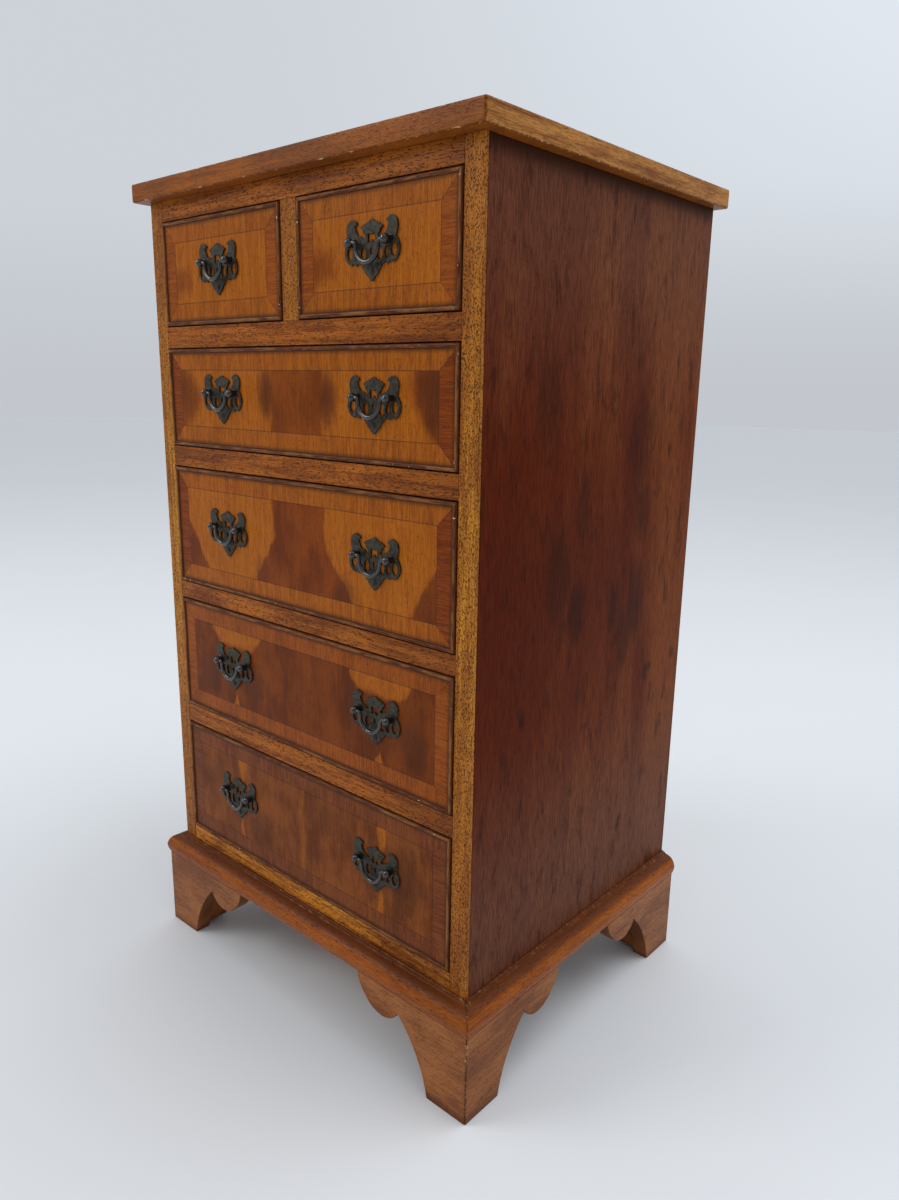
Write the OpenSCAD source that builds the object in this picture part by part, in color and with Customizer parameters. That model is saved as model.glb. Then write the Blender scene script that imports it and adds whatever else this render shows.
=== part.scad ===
// Miniature chest of drawers: two small drawers over four wide ones, on bracket feet.
// All sizes are in millimetres. The origin is the middle of the footprint, on the floor.
// +X is to the right, +Y to the back and +Z up, as seen by someone facing the drawers.

/* [Carcass] */
// Width of the carcass, without the overhangs
carcass_w = 328; // [310:1:360]
// Depth of the carcass, from the front face to the back
carcass_d = 265; // [240:1:300]
// Thickness of the carcass sides, and width of the front stiles
side_t = 14.3; // [12:0.1:16]
// Depth of the front rails and the muntin, from front to back
rail_d = 45; // [35:1:60]
// Thickness of the back panel and of the bottom board
panel_t = 6; // [4:0.5:8]

/* [Top board] */
// Thickness of the top board
top_t = 13; // [10:0.5:18]
// Overhang at the front
top_front = 10.5; // [6:0.5:12]
// Overhang at each side
top_side = 8.5; // [4:0.5:12]
// Overhang at the back
top_back = 7; // [0:0.5:12]
// Radius of the top board's corners, in plan
top_corner_r = 2; // [0.5:0.5:5]

/* [Drawer rows, from the top down] */
// Height of the two small drawers
drawer_1_h = 74; // [62:0.5:90]
// Height of the second row
drawer_2_h = 72.5; // [62:0.5:90]
// Height of the third row
drawer_3_h = 92.5; // [70:0.5:110]
// Height of the fourth row
drawer_4_h = 92; // [70:0.5:110]
// Height of the bottom row
drawer_5_h = 97.5; // [70:0.5:110]
// Space between the small drawers and the top board
top_rail_h = 15; // [12:0.5:20]
// Space between the first and second rows
rail_1_h = 17; // [14:0.5:20]
// Space between the second and third rows
rail_2_h = 17; // [14:0.5:20]
// Space between the third and fourth rows
rail_3_h = 15; // [14:0.5:20]
// Space between the fourth row and the bottom one
rail_4_h = 16.5; // [14:0.5:20]
// Space between the bottom row and the top of the base moulding
bottom_rail_h = 13; // [11:0.5:20]
// Space between the two small drawers
muntin_w = 17.5; // [14:0.5:24]

/* [Drawer construction] */
// Visible gap round each drawer
drawer_gap = 0.7; // [0.4:0.1:1.2]
// Clearance between a drawer's sides and its runners
slide_gap = 0.3; // [0.2:0.1:0.4]
// Thickness of the drawer fronts
front_t = 13; // [12:0.5:16]
// Thickness of the drawer sides and backs
box_t = 6; // [5:0.5:8]
// Thickness of the drawer bottoms
bottom_t = 4; // [3:0.5:5]
// Free space behind the drawers
drawer_back_gap = 11; // [8:1:20]
// Width of the cock bead
bead_w = 3.1; // [2.4:0.1:4]
// How far the cock bead stands proud of the front
bead_proud = 1.2; // [0.6:0.1:1.4]
// How deep the cock bead is let into the front
bead_depth = 4; // [3:0.5:5]

/* [Handles] */
// Distance of the wide drawers' handles from the centre line
handle_x = 80; // [60:1:100]
// Distance between the two posts of a handle
post_spacing = 31; // [30:0.5:32]
// Height of the posts above the middle of the plate
post_up = 4.5; // [4:0.5:5]
// Distance of the bail's axis from the drawer front
pivot_out = 5.2; // [5:0.1:6]
// Thickness of the handle plates
plate_t = 1.3; // [1:0.1:1.6]
// Diameter of the bail's rod
bail_rod_d = 2.4; // [2:0.1:2.6]
// Diameter of the ball on each post
ball_d = 6; // [5.6:0.1:6.4]

/* [Base] */
// Height of the feet
foot_h = 66.5; // [55:0.5:75]
// Height of the base moulding
moulding_h = 18.5; // [16:0.5:22]
// How far the moulding stands out from the carcass
moulding_out = 13; // [12:0.5:15]
// How far the feet stand out from the carcass
foot_out = 11; // [9:0.5:12]
// Thickness of the foot brackets
bracket_t = 13; // [12:0.5:16]
// Length of a foot bracket along the carcass
bracket_w = 104; // [96:1:112]
// Width of the sole of a foot
sole_w = 35; // [28:1:40]

/* [Hidden] */
$fn = 48;
EPS = 0.01;
GLUE_LINE = 0.05;       // hairline between glued pieces that share a node
STILE_T = 3;            // thickness of the stiles, which line the front edges of the sides
HOUSING = 4;            // depth of the rail ends in the sides

half_w = carcass_w / 2;
inner_x = half_w - side_t;
front_y = -(carcass_d + top_back - moulding_out) / 2;
back_y = front_y + carcass_d;
panel_y = back_y - panel_t;

drawer_h = [drawer_1_h, drawer_2_h, drawer_3_h, drawer_4_h, drawer_5_h];
rail_h = [rail_1_h, rail_2_h, rail_3_h, rail_4_h];
BOTTOM_ROW = 4;

base_top = foot_h + moulding_h;
function row_z(r) = r == BOTTOM_ROW ? base_top + bottom_rail_h
                                    : row_z(r + 1) + drawer_h[r + 1] + rail_h[r];
under_top = row_z(0) + drawer_h[0] + top_rail_h;

drawer_x = inner_x - drawer_gap;
drawer_back = panel_y - drawer_back_gap;

// Each drawer: name, left edge, right edge, row, and the places of its handles
small_handle_x = (drawer_x + muntin_w / 2) / 2;
DRAWERS = [
    ["top_left_drawer", -drawer_x, -muntin_w / 2, 0, [["", -small_handle_x]]],
    ["top_right_drawer", muntin_w / 2, drawer_x, 0, [["", small_handle_x]]],
    ["second_drawer", -drawer_x, drawer_x, 1, [["_left", -handle_x], ["_right", handle_x]]],
    ["third_drawer", -drawer_x, drawer_x, 2, [["_left", -handle_x], ["_right", handle_x]]],
    ["fourth_drawer", -drawer_x, drawer_x, 3, [["_left", -handle_x], ["_right", handle_x]]],
    ["bottom_drawer", -drawer_x, drawer_x, 4, [["_left", -handle_x], ["_right", handle_x]]],
];
function name_of(d) = d[0];
function left_of(d) = d[1];
function right_of(d) = d[2];
function low_of(d) = row_z(d[3]);
function high_of(d) = low_of(d) + drawer_h[d[3]];
function handles_of(d) = d[4];
function middle_of(d) = (low_of(d) + high_of(d)) / 2;

CARCASS_NODES = [
    "top_board", "left_side", "right_side", "front_stiles", "front_rails", "centre_divider",
    "drawer_runners", "bottom_board", "back_panel", "base_moulding",
    "foot_front_left", "foot_front_right", "foot_back_left", "foot_back_right",
];
DRAWER_PARTS = ["_front", "_cock_beads", "_box", "_bottom", "_handle_plates", "_handle_posts"];

// ---------- helpers ----------

module block(low, high) translate(low) cube(high - low);

// An outline from corner points [x, y, bow]: each stretch bows to the left by its third number,
// in so many steps
function bow_stretch(a, b, steps) = [
    for (k = [0 : (a[2] == 0 ? 0 : steps - 1)])
        let (t = k / steps, run = [b[0] - a[0], b[1] - a[1]])
            [a[0], a[1]] + run * t + [-run[1], run[0]] / norm(run) * a[2] * 4 * t * (1 - t)
];
function bowed(points, steps) = [
    for (i = [0 : len(points) - 1])
        each bow_stretch(points[i], points[(i + 1) % len(points)], steps)
];
function oval(x, y, rx, ry) = [for (a = [0 : 30 : 330]) [x + rx * cos(a), y + ry * sin(a)]];

// Stands a flat XY outline up in the XZ plane, with its thickness towards -Y
module upright(thickness) rotate([90, 0, 0]) linear_extrude(thickness) children();

module mirrored_pair() {
    children();
    mirror([1, 0, 0]) children();
}

// ---------- carcass ----------

module top_board() color("peru")
    translate([0, 0, under_top])
        linear_extrude(top_t) {
            x = half_w + top_side - top_corner_r;
            y0 = front_y - top_front + top_corner_r;
            y1 = back_y + top_back - top_corner_r;
            translate([-x - top_corner_r, y0]) square([2 * (x + top_corner_r), y1 - y0]);
            translate([-x, y0 - top_corner_r]) square([2 * x, y1 - y0 + 2 * top_corner_r]);
            for (sx = [-x, x], sy = [y0, y1]) translate([sx, sy]) circle(top_corner_r);
        }

// The spaces between the rows, from the top down: [low, high] of the rail that fills each one
function rail_span(i) =
    i == 0 ? [row_z(0) + drawer_h[0] + drawer_gap, under_top]
    : i == 5 ? [foot_h, row_z(BOTTOM_ROW) - drawer_gap]
    : [row_z(i) + drawer_h[i] + drawer_gap, row_z(i - 1) - drawer_gap];

module rail_housings()
    for (i = [0 : 5])
        block([-inner_x - HOUSING, front_y + STILE_T, rail_span(i)[0]],
              [inner_x + HOUSING, front_y + rail_d, rail_span(i)[1]]);

bottom_z = foot_h + 8;
module bottom_panel(x)
    block([-x, front_y + rail_d, bottom_z], [x, panel_y, bottom_z + panel_t]);

module right_side() color("sienna")
    difference() {
        block([inner_x, front_y + STILE_T, foot_h], [half_w, back_y, under_top]);
        rail_housings();
        bottom_panel(inner_x + HOUSING);
        block([0, panel_y, foot_h - EPS], [inner_x + panel_t, back_y + EPS, under_top + EPS]);
    }

module left_side() mirror([1, 0, 0]) right_side();

module front_stiles() color("goldenrod")
    mirrored_pair()
        block([inner_x, front_y, foot_h], [half_w, front_y + STILE_T, under_top]);

// A drawer's stops stand on the rail under it, just behind its front
STOP = [16, 8, 3];
module drawer_stops()
    for (d = DRAWERS, end = [left_of(d) + 30, right_of(d) - 30 - STOP[0]])
        translate([end, front_y + front_t + 0.2, low_of(d) - drawer_gap + GLUE_LINE])
            cube(STOP);

DIVIDER_TENON = [8, 20, 4];
module divider_tenons(low, high)
    translate([-DIVIDER_TENON[0] / 2, front_y + 12, low - DIVIDER_TENON[2]])
        cube([DIVIDER_TENON[0], DIVIDER_TENON[1], high - low + 2 * DIVIDER_TENON[2]]);

module front_rails() color("peru") {
    difference() {
        union() {
            rail_housings();
            for (i = [0 : 5])
                block([-inner_x, front_y, rail_span(i)[0]],
                      [inner_x, front_y + rail_d, rail_span(i)[1]]);
        }
        divider_tenons(rail_span(1)[1], rail_span(0)[0]);
    }
    drawer_stops();
}

module centre_divider() color("goldenrod") {
    x = muntin_w / 2 - drawer_gap;
    block([-x, front_y, rail_span(1)[1]], [x, front_y + rail_d, rail_span(0)[0]]);
    divider_tenons(rail_span(1)[1], rail_span(0)[0]);
}

RUNNER_W = 14;
RUNNER_H = 10;
GUIDE_H = 14;
module drawer_runners() color("burlywood") {
    for (row = [0 : BOTTOM_ROW])
        mirrored_pair()
            block([inner_x - RUNNER_W, front_y + rail_d, row_z(row) - drawer_gap - RUNNER_H],
                  [inner_x, panel_y, row_z(row) - drawer_gap]);
    // the small drawers share a middle runner, with a guide between them
    x = muntin_w / 2 - drawer_gap;
    top = row_z(0) - drawer_gap;
    block([-x - RUNNER_W, front_y + rail_d, top - RUNNER_H], [x + RUNNER_W, panel_y, top]);
    block([-x, front_y + rail_d, top + GLUE_LINE], [x, panel_y, top + GUIDE_H]);
}

module bottom_board() color("burlywood") bottom_panel(inner_x + HOUSING);

module back_panel() color("saddlebrown")
    block([-inner_x - panel_t, panel_y, foot_h], [inner_x + panel_t, back_y, under_top]);

// ---------- base ----------

// Section of the base moulding: out from the carcass, and up from its underside
NOSE_UP = 7.5;          // height of the widest point
FILLET = [1.6, 3.3];    // the two small steps at the top
module moulding_section() {
    out = moulding_out;
    polygon(bowed([
        [0, 0, 0],
        [foot_out, 0, -0.5],
        [out, NOSE_UP, -2.6],
        [FILLET[1], moulding_h - 1.8, 0],
        [FILLET[1], moulding_h - 0.9, 0],
        [FILLET[0], moulding_h - 0.9, 0],
        [FILLET[0], moulding_h, 0],
        [0, moulding_h, 0],
    ], 10));
}

module base_moulding() color("chocolate")
    translate([0, 0, foot_h]) {
        m = GLUE_LINE;
        reach = moulding_out + 1;
        // front length, mitred at both ends
        intersection() {
            translate([-half_w - reach, front_y, 0])
                rotate([90, 0, 90])
                    linear_extrude(carcass_w + 2 * reach)
                        mirror([1, 0]) moulding_section();
            translate([0, front_y, -1])
                linear_extrude(moulding_h + 2)
                    polygon([[-half_w + m, 0], [-half_w - reach + m, -reach],
                             [half_w + reach - m, -reach], [half_w - m, 0]]);
        }
        // side lengths, mitred at the front and cut square at the back
        mirrored_pair()
            intersection() {
                translate([half_w, back_y, 0])
                    rotate([90, 0, 0])
                        linear_extrude(carcass_d + reach) moulding_section();
                translate([half_w, front_y, -1])
                    linear_extrude(moulding_h + 2)
                        polygon([[0, m], [reach, -reach + m], [reach, carcass_d], [0, carcass_d]]);
            }
    }

// Outline of a foot bracket, along the carcass from its corner and up from the floor
CUSP = [63, 52];
module bracket_outline()
    polygon(bowed([
        [0, 0, 0],
        [sole_w, 0, 4.6],
        [CUSP[0], CUSP[1], -2.4],
        [CUSP[0] + 15, CUSP[1] - 10, -2.6],
        [bracket_w - 7, CUSP[1] - 0.5, -1.6],
        [bracket_w, foot_h, 0],
        [0, foot_h, 0],
    ], 10));

GLUE_BLOCK = 20;
module front_foot() {
    edge_x = half_w + foot_out;
    edge_y = front_y - foot_out;
    t = bracket_t;
    m = GLUE_LINE;
    // front bracket, mitred at the corner
    intersection() {
        translate([edge_x, edge_y + t, 0]) mirror([1, 0, 0]) upright(t) bracket_outline();
        translate([edge_x, edge_y, -1])
            linear_extrude(foot_h + 2)
                polygon([[-m, 0], [-t - m, t], [-bracket_w - 1, t], [-bracket_w - 1, 0]]);
    }
    // side bracket
    intersection() {
        translate([edge_x - t, edge_y, 0]) rotate([90, 0, 90]) linear_extrude(t) bracket_outline();
        translate([edge_x, edge_y, -1])
            linear_extrude(foot_h + 2)
                polygon([[0, m], [-t, t + m], [-t, bracket_w + 1], [0, bracket_w + 1]]);
    }
    translate([edge_x - t - m - GLUE_BLOCK, edge_y + t + m, 3])
        cube([GLUE_BLOCK, GLUE_BLOCK, foot_h - 3]);
}

// The back feet stand flush with the carcass back, with a plain board behind the side bracket
module back_foot() {
    edge_x = half_w + foot_out;
    t = bracket_t;
    m = GLUE_LINE;
    translate([edge_x - t, back_y, 0]) mirror([0, 1, 0])
        rotate([90, 0, 90]) linear_extrude(t) bracket_outline();
    translate([edge_x - t - m, back_y, 0]) mirror([1, 0, 0])
        upright(t) polygon([[0, 0], [sole_w - t, 0], [bracket_w - 2 * t, foot_h], [0, foot_h]]);
    translate([edge_x - t - m - GLUE_BLOCK, back_y - t - m - GLUE_BLOCK, 3])
        cube([GLUE_BLOCK, GLUE_BLOCK, foot_h - 3]);
}

module foot_front_right() color("peru") front_foot();
module foot_front_left() color("peru") mirror([1, 0, 0]) front_foot();
module foot_back_right() color("peru") back_foot();
module foot_back_left() color("peru") mirror([1, 0, 0]) back_foot();

// ---------- drawers ----------

BOTTOM_UP = 5;          // height of the drawer bottom above the drawer's lower edge
GROOVE = 3;             // depth of the bottom's grooves
SIDE_DROP = 2;          // how far the drawer sides stay below the front's upper edge
TAIL_LENGTH = 8;
TAIL_PITCH = 24;

function box_low(d) = low_of(d) - drawer_gap + slide_gap;
function box_high(d) = high_of(d) - SIDE_DROP;

module drawer_bottom(d) color("burlywood")
    block([left_of(d) + box_t - GROOVE, front_y + front_t - GROOVE, low_of(d) + BOTTOM_UP],
          [right_of(d) - box_t + GROOVE, drawer_back, low_of(d) + BOTTOM_UP + bottom_t]);

// Dovetails on the front ends of the drawer sides, for the sides and for the sockets
module dovetails(d) {
    count = floor((box_high(d) - low_of(d)) / TAIL_PITCH);
    pitch = (box_high(d) - low_of(d)) / count;
    for (x = [left_of(d), right_of(d) - box_t], i = [0 : count - 1])
        translate([x, front_y + front_t, low_of(d) + pitch * (i + 0.5)])
            rotate([90, 0, 90])
                linear_extrude(box_t)
                    polygon([[EPS, -pitch * 0.26], [EPS, pitch * 0.26],
                             [-TAIL_LENGTH, pitch * 0.36], [-TAIL_LENGTH, -pitch * 0.36]]);
}

module post_holes(d, r)
    for (h = handles_of(d), side = [-1, 1])
        translate([h[1] + side * post_spacing / 2, front_y - 20, middle_of(d) + post_up])
            rotate([-90, 0, 0]) cylinder(h = 60, r = r);

module drawer_front(d) color("chocolate")
    difference() {
        block([left_of(d), front_y, low_of(d)], [right_of(d), front_y + front_t, high_of(d)]);
        // rebate for the cock bead, all round
        difference() {
            block([left_of(d) - 1, front_y - 1, low_of(d) - 1],
                  [right_of(d) + 1, front_y + bead_depth, high_of(d) + 1]);
            block([left_of(d) + bead_w, front_y - 2, low_of(d) + bead_w],
                  [right_of(d) - bead_w, front_y + bead_depth + 1, high_of(d) - bead_w]);
        }
        drawer_bottom(d);
        dovetails(d);
        post_holes(d, SHANK_R + 0.1);
    }

// Half-round strip of the cock bead, [length] long, standing on the corner of the front
module bead_strip(length)
    linear_extrude(length) {
        translate([bead_w / 2, bead_w / 2 - bead_proud]) circle(bead_w / 2);
        translate([0, bead_w / 2 - bead_proud])
            square([bead_w, bead_depth + bead_proud - bead_w / 2]);
    }

module drawer_cock_beads(d) color("saddlebrown") {
    w = right_of(d) - left_of(d);
    h = high_of(d) - low_of(d);
    m = GLUE_LINE;
    y = bead_proud + 1;
    t = bead_depth + bead_proud + 2;
    cut = bead_w + 1;
    centre = [(left_of(d) + right_of(d)) / 2, front_y, middle_of(d)];
    translate(centre) {
        for (side = [-1, 1])
            intersection() {
                translate([side * w / 2, 0, -h / 2])
                    mirror([side > 0 ? 1 : 0, 0, 0]) bead_strip(h);
                translate([0, t - y, 0])
                    upright(t)
                        polygon([[side * w / 2, h / 2 - m], [side * w / 2, -h / 2 + m],
                                 [side * (w / 2 - cut), -h / 2 + cut + m],
                                 [side * (w / 2 - cut), h / 2 - cut - m]]);
            }
        for (side = [-1, 1])
            intersection() {
                translate([-w / 2, 0, side * h / 2])
                    mirror([0, 0, side > 0 ? 1 : 0])
                        multmatrix([[0, 0, 1, 0], [0, 1, 0, 0], [1, 0, 0, 0]]) bead_strip(w);
                translate([0, t - y, 0])
                    upright(t)
                        polygon([[w / 2 - m, side * h / 2], [-w / 2 + m, side * h / 2],
                                 [-w / 2 + cut + m, side * (h / 2 - cut)],
                                 [w / 2 - cut - m, side * (h / 2 - cut)]]);
            }
    }
}

BACK_HOUSING = 2;
BACK_SET = 5;           // how far the drawer back stands in from the ends of the sides
module box_back(d, glue)
    block([left_of(d) + box_t - BACK_HOUSING + glue, drawer_back - BACK_SET - box_t + glue,
           low_of(d) + BOTTOM_UP + bottom_t],
          [right_of(d) - box_t + BACK_HOUSING - glue, drawer_back - BACK_SET - glue,
           box_high(d) - 3 - glue]);

module drawer_box(d) color("burlywood") {
    difference() {
        union() {
            for (x = [left_of(d), right_of(d) - box_t])
                block([x, front_y + front_t, box_low(d)], [x + box_t, drawer_back, box_high(d)]);
            dovetails(d);
        }
        drawer_bottom(d);
        box_back(d, 0);
    }
    box_back(d, GLUE_LINE);
}

// ---------- handles ----------

// Right half of the plate's outline, clockwise from the crown's point to the tip of the drop
PLATE_HALF = [
    [0, 17, 0.5], [2.6, 15.5, 0.5], [5, 14.6, 0.5], [7.4, 13.8, 0.4], [9.5, 12.4, -0.2],
    [7.5, 11.1, 0.3], [6.8, 9.4, -0.4], [5.5, 7.2, -0.2], [7.4, 6.6, 0.7], [11.4, 8.4, -0.6],
    [14.4, 14.4, 0.3], [12.5, 15.2, 0.6], [14.3, 17, 0.6], [18.2, 17.6, 0.7], [21.7, 13.6, 0.6],
    [20.4, 6.4, 0.2], [22.8, 3, 0.4], [23.4, -1.5, 0.6], [21, -6.2, 0.5], [17.6, -7.9, -0.3],
    [15.6, -7, 0.6], [12.6, -8.3, -0.3], [11.4, -7.1, 0.4], [8.9, -8.2, 0.4], [7.6, -10.2, 0.4],
    [5.8, -11.8, 0.4], [4.6, -13.8, 0.4], [2.6, -15, 0.4], [1.4, -16.6, 0.2],
];
PLATE_TIP = [0, -17.7, 0];
LOOP_HOLE = [18.8, -1.1, 2.5, 3.8];
TEAR_HOLE = [7, -2.2, 2.3, 4];
SLIT_HOLE = [12.6, -2, 1.5, 3.4];
EYE_HOLE = [0, -0.8, 1.3, 2];
BOSS_Z = -12.4;
BOSS_R = 2.1;

module plate_holes() {
    for (hole = [LOOP_HOLE, TEAR_HOLE, SLIT_HOLE])
        polygon(oval(hole[0], hole[1], hole[2], hole[3]));
}

module handle_plate() {
    right = bowed(concat(PLATE_HALF, [PLATE_TIP]), 3);
    right_side_points = [for (p = right) if (p[0] > EPS) p];
    difference() {
        union() {
            upright(plate_t)
                polygon(concat(
                    [[0, PLATE_HALF[0][1]]], right_side_points, [[0, PLATE_TIP[1]]],
                    [for (i = [len(right_side_points) - 1 : -1 : 0])
                        [-right_side_points[i][0], right_side_points[i][1]]]
                ));
            // small round boss on the drop
            translate([0, -plate_t, BOSS_Z])
                rotate([90, 0, 0]) {
                    cylinder(h = 0.5, r = BOSS_R);
                    cylinder(h = 1, r = BOSS_R / 2);
                }
        }
        translate([0, 1, 0])
            upright(plate_t + 2) {
                mirrored_pair() plate_holes();
                polygon(oval(EYE_HOLE[0], EYE_HOLE[1], EYE_HOLE[2], EYE_HOLE[3]));
                // slot in the neck, with a pointed finial standing in it
                polygon([[-3.1, 9.4], [0, 8.8], [3.1, 9.4], [3, 4], [1.6, 4], [0, 6], [-1.6, 4],
                         [-3, 4]]);
            }
    }
}

module drawer_handle_plates(d) color("dimgray")
    difference() {
        for (h = handles_of(d)) translate([h[1], front_y, middle_of(d)]) handle_plate();
        post_holes(d, SHANK_R + 0.1);
    }

SHANK_R = 1.5;
COLLAR_R = 3;
NUT_R = 3.2;
NUT_H = 2.4;
PIVOT_PLAY = 0.1;
PIN_BEYOND = 1;         // how far the bail's pins reach past the posts' centres
pin_r = bail_rod_d / 2;

// One post, its axis on the Y axis and the drawer's face at Y = 0; the bail comes in from +X
module post() {
    difference() {
        rotate([90, 0, 0]) {
            translate([0, 0, -front_t - NUT_H - 1.5]) cylinder(h = front_t + NUT_H + 2, r = SHANK_R);
            translate([0, 0, plate_t]) cylinder(h = 1, r = COLLAR_R);
            translate([0, 0, 0.4]) cylinder(h = plate_t, r = SHANK_R);
            translate([0, 0, plate_t]) cylinder(h = pivot_out - plate_t, r = ball_d / 2 - 0.3);
            translate([0, 0, pivot_out]) sphere(r = ball_d / 2);
        }
        // blind bore for the bail's pin
        translate([-PIN_BEYOND - PIVOT_PLAY, -pivot_out, 0])
            rotate([0, 90, 0]) cylinder(h = 10, r = pin_r + PIVOT_PLAY);
    }
    translate([0, front_t + GLUE_LINE, 0])
        rotate([-90, 0, 0])
            difference() {
                cylinder(h = NUT_H, r = NUT_R, $fn = 6);
                translate([0, 0, -1]) cylinder(h = NUT_H + 2, r = SHANK_R + 0.1);
            }
}

module drawer_handle_posts(d) color("dimgray")
    for (h = handles_of(d))
        translate([h[1], front_y, middle_of(d) + post_up])
            mirrored_pair() translate([-post_spacing / 2, 0, 0]) post();

// A bail: two pins, two bends and a round bow, hanging straight down from its pivot line
NECK_R = 2.2;           // radius of the bends
NECK_GAP = 0.6;         // straight piece between a post and its bend
module bail(d, h) color("dimgray") {
    leg_x = post_spacing / 2 - ball_d / 2 - NECK_GAP - NECK_R;
    pin_end = post_spacing / 2 + PIN_BEYOND;
    translate([h[1], front_y - pivot_out, middle_of(d) + post_up]) {
        mirrored_pair() {
            translate([leg_x + NECK_R, 0, 0])
                rotate([0, 90, 0]) cylinder(h = pin_end - leg_x - NECK_R, r = pin_r);
            // bend from the pin down into the leg
            translate([leg_x + NECK_R, 0, -NECK_R])
                rotate([90, 0, 0])
                    rotate([0, 0, 90])
                        rotate_extrude(angle = 90) translate([NECK_R, 0]) circle(pin_r);
        }
        translate([0, 0, -NECK_R])
            rotate([90, 0, 0])
                rotate([0, 0, 180])
                    rotate_extrude(angle = 180) translate([leg_x, 0]) circle(pin_r);
    }
}

// ---------- drawing ----------

top_board();
left_side();
right_side();
front_stiles();
front_rails();
centre_divider();
drawer_runners();
bottom_board();
back_panel();
base_moulding();
foot_front_left();
foot_front_right();
foot_back_left();
foot_back_right();
for (d = DRAWERS) {
    drawer_front(d);
    drawer_cock_beads(d);
    drawer_box(d);
    drawer_bottom(d);
    drawer_handle_plates(d);
    drawer_handle_posts(d);
    for (h = handles_of(d))
        bail(d, h);
}
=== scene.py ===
import math

import bpy
from mathutils import Matrix, Vector

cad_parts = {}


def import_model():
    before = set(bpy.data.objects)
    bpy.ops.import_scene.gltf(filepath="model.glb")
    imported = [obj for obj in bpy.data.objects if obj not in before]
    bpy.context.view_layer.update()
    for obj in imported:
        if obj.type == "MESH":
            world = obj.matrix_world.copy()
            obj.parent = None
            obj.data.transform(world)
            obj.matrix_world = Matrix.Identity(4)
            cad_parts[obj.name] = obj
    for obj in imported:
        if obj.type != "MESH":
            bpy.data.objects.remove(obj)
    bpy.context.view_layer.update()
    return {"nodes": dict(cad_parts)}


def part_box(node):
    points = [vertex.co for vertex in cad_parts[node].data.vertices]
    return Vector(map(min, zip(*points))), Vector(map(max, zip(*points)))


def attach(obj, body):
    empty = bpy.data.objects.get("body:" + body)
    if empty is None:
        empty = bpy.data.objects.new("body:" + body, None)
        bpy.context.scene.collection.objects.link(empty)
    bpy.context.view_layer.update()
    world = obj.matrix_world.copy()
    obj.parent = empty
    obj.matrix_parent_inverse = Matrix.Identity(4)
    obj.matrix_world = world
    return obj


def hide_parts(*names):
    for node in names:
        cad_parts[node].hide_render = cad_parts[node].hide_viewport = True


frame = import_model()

# A miniature chest of drawers in veneered wood. Lengths in materials are in millimetres.

FRONT_Y = -129.5        # the face of the carcass and of the drawer veneers
SIDE_X = 164.0
FOOT_X = 175.0          # the outer faces of the feet
FOOT_Y = -140.5
BAND = 15.5             # width of the crossbanding round each drawer front

# name: (left, right, low, high) of each drawer's front
DRAWERS = {
    "top_left_drawer": (-149.0, -8.75, 518.0, 592.0),
    "top_right_drawer": (8.75, 149.0, 518.0, 592.0),
    "second_drawer": (-149.0, 149.0, 428.5, 501.0),
    "third_drawer": (-149.0, 149.0, 319.0, 411.5),
    "fourth_drawer": (-149.0, 149.0, 212.0, 304.0),
    "bottom_drawer": (-149.0, 149.0, 98.0, 195.5),
}


# ---------- numbers and colours at each point of a surface ----------

class Field:
    """A number at each point of a surface. Arithmetic on it adds nodes to the material."""

    def __init__(self, tree, socket):
        self.tree = tree
        self.socket = socket

    def math(self, operation, *others):
        node = self.tree.nodes.new("ShaderNodeMath")
        node.operation = operation
        for socket, value in zip(node.inputs, (self, *others)):
            put(self.tree, value, socket)
        return Field(self.tree, node.outputs[0])

    def __add__(self, other):
        return self.math("ADD", other)

    def __sub__(self, other):
        return self.math("SUBTRACT", other)

    def __mul__(self, other):
        return self.math("MULTIPLY", other)

    def __truediv__(self, other):
        return self.math("DIVIDE", other)

    def __rsub__(self, other):
        return self.math("MULTIPLY_ADD", -1.0, other)

    def __neg__(self):
        return self * -1.0

    def __abs__(self):
        return self.math("ABSOLUTE")

    __radd__ = __add__
    __rmul__ = __mul__

    def least(self, other):
        return self.math("MINIMUM", other)

    def most(self, other):
        return self.math("MAXIMUM", other)

    def rise(self, low, high):
        """0 up to low, 1 from high, and smooth between them."""
        node = self.tree.nodes.new("ShaderNodeMapRange")
        node.interpolation_type = "SMOOTHSTEP"
        node.inputs["From Min"].default_value = low
        node.inputs["From Max"].default_value = high
        put(self.tree, self, node.inputs["Value"])
        return Field(self.tree, node.outputs["Result"])

    def fall(self, low, high):
        """1 up to low, 0 from high, and smooth between them."""
        return 1.0 - self.rise(low, high)

    def hump(self, centre, reach):
        """1 at centre, and smoothly down to 0 at reach on either side."""
        return abs(self - centre).fall(0.0, reach)


class Tint:
    """A colour at each point of a surface."""

    def __init__(self, tree, value):
        self.tree = tree
        self.value = value

    def mix(self, kind, other, amount):
        node = self.tree.nodes.new("ShaderNodeMix")
        node.data_type = "RGBA"
        node.blend_type = kind
        put(self.tree, amount, node.inputs[0])
        put(self.tree, self, node.inputs[6])
        put(self.tree, other, node.inputs[7])
        return Tint(self.tree, node.outputs[2])

    def toward(self, other, amount):
        return self.mix("MIX", other, amount)

    def times(self, other, amount):
        return self.mix("MULTIPLY", other, amount)


def put(tree, value, socket):
    """Links a Field or Tint to a socket, or sets a plain value on it."""
    if isinstance(value, Field):
        tree.links.new(value.socket, socket)
    elif isinstance(value, Tint):
        put(tree, value.value, socket)
    elif isinstance(value, bpy.types.NodeSocket):
        tree.links.new(value, socket)
    elif isinstance(value, tuple) and len(value) == 3 and socket.type == "RGBA":
        socket.default_value = (*value, 1.0)
    else:
        socket.default_value = value


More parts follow.
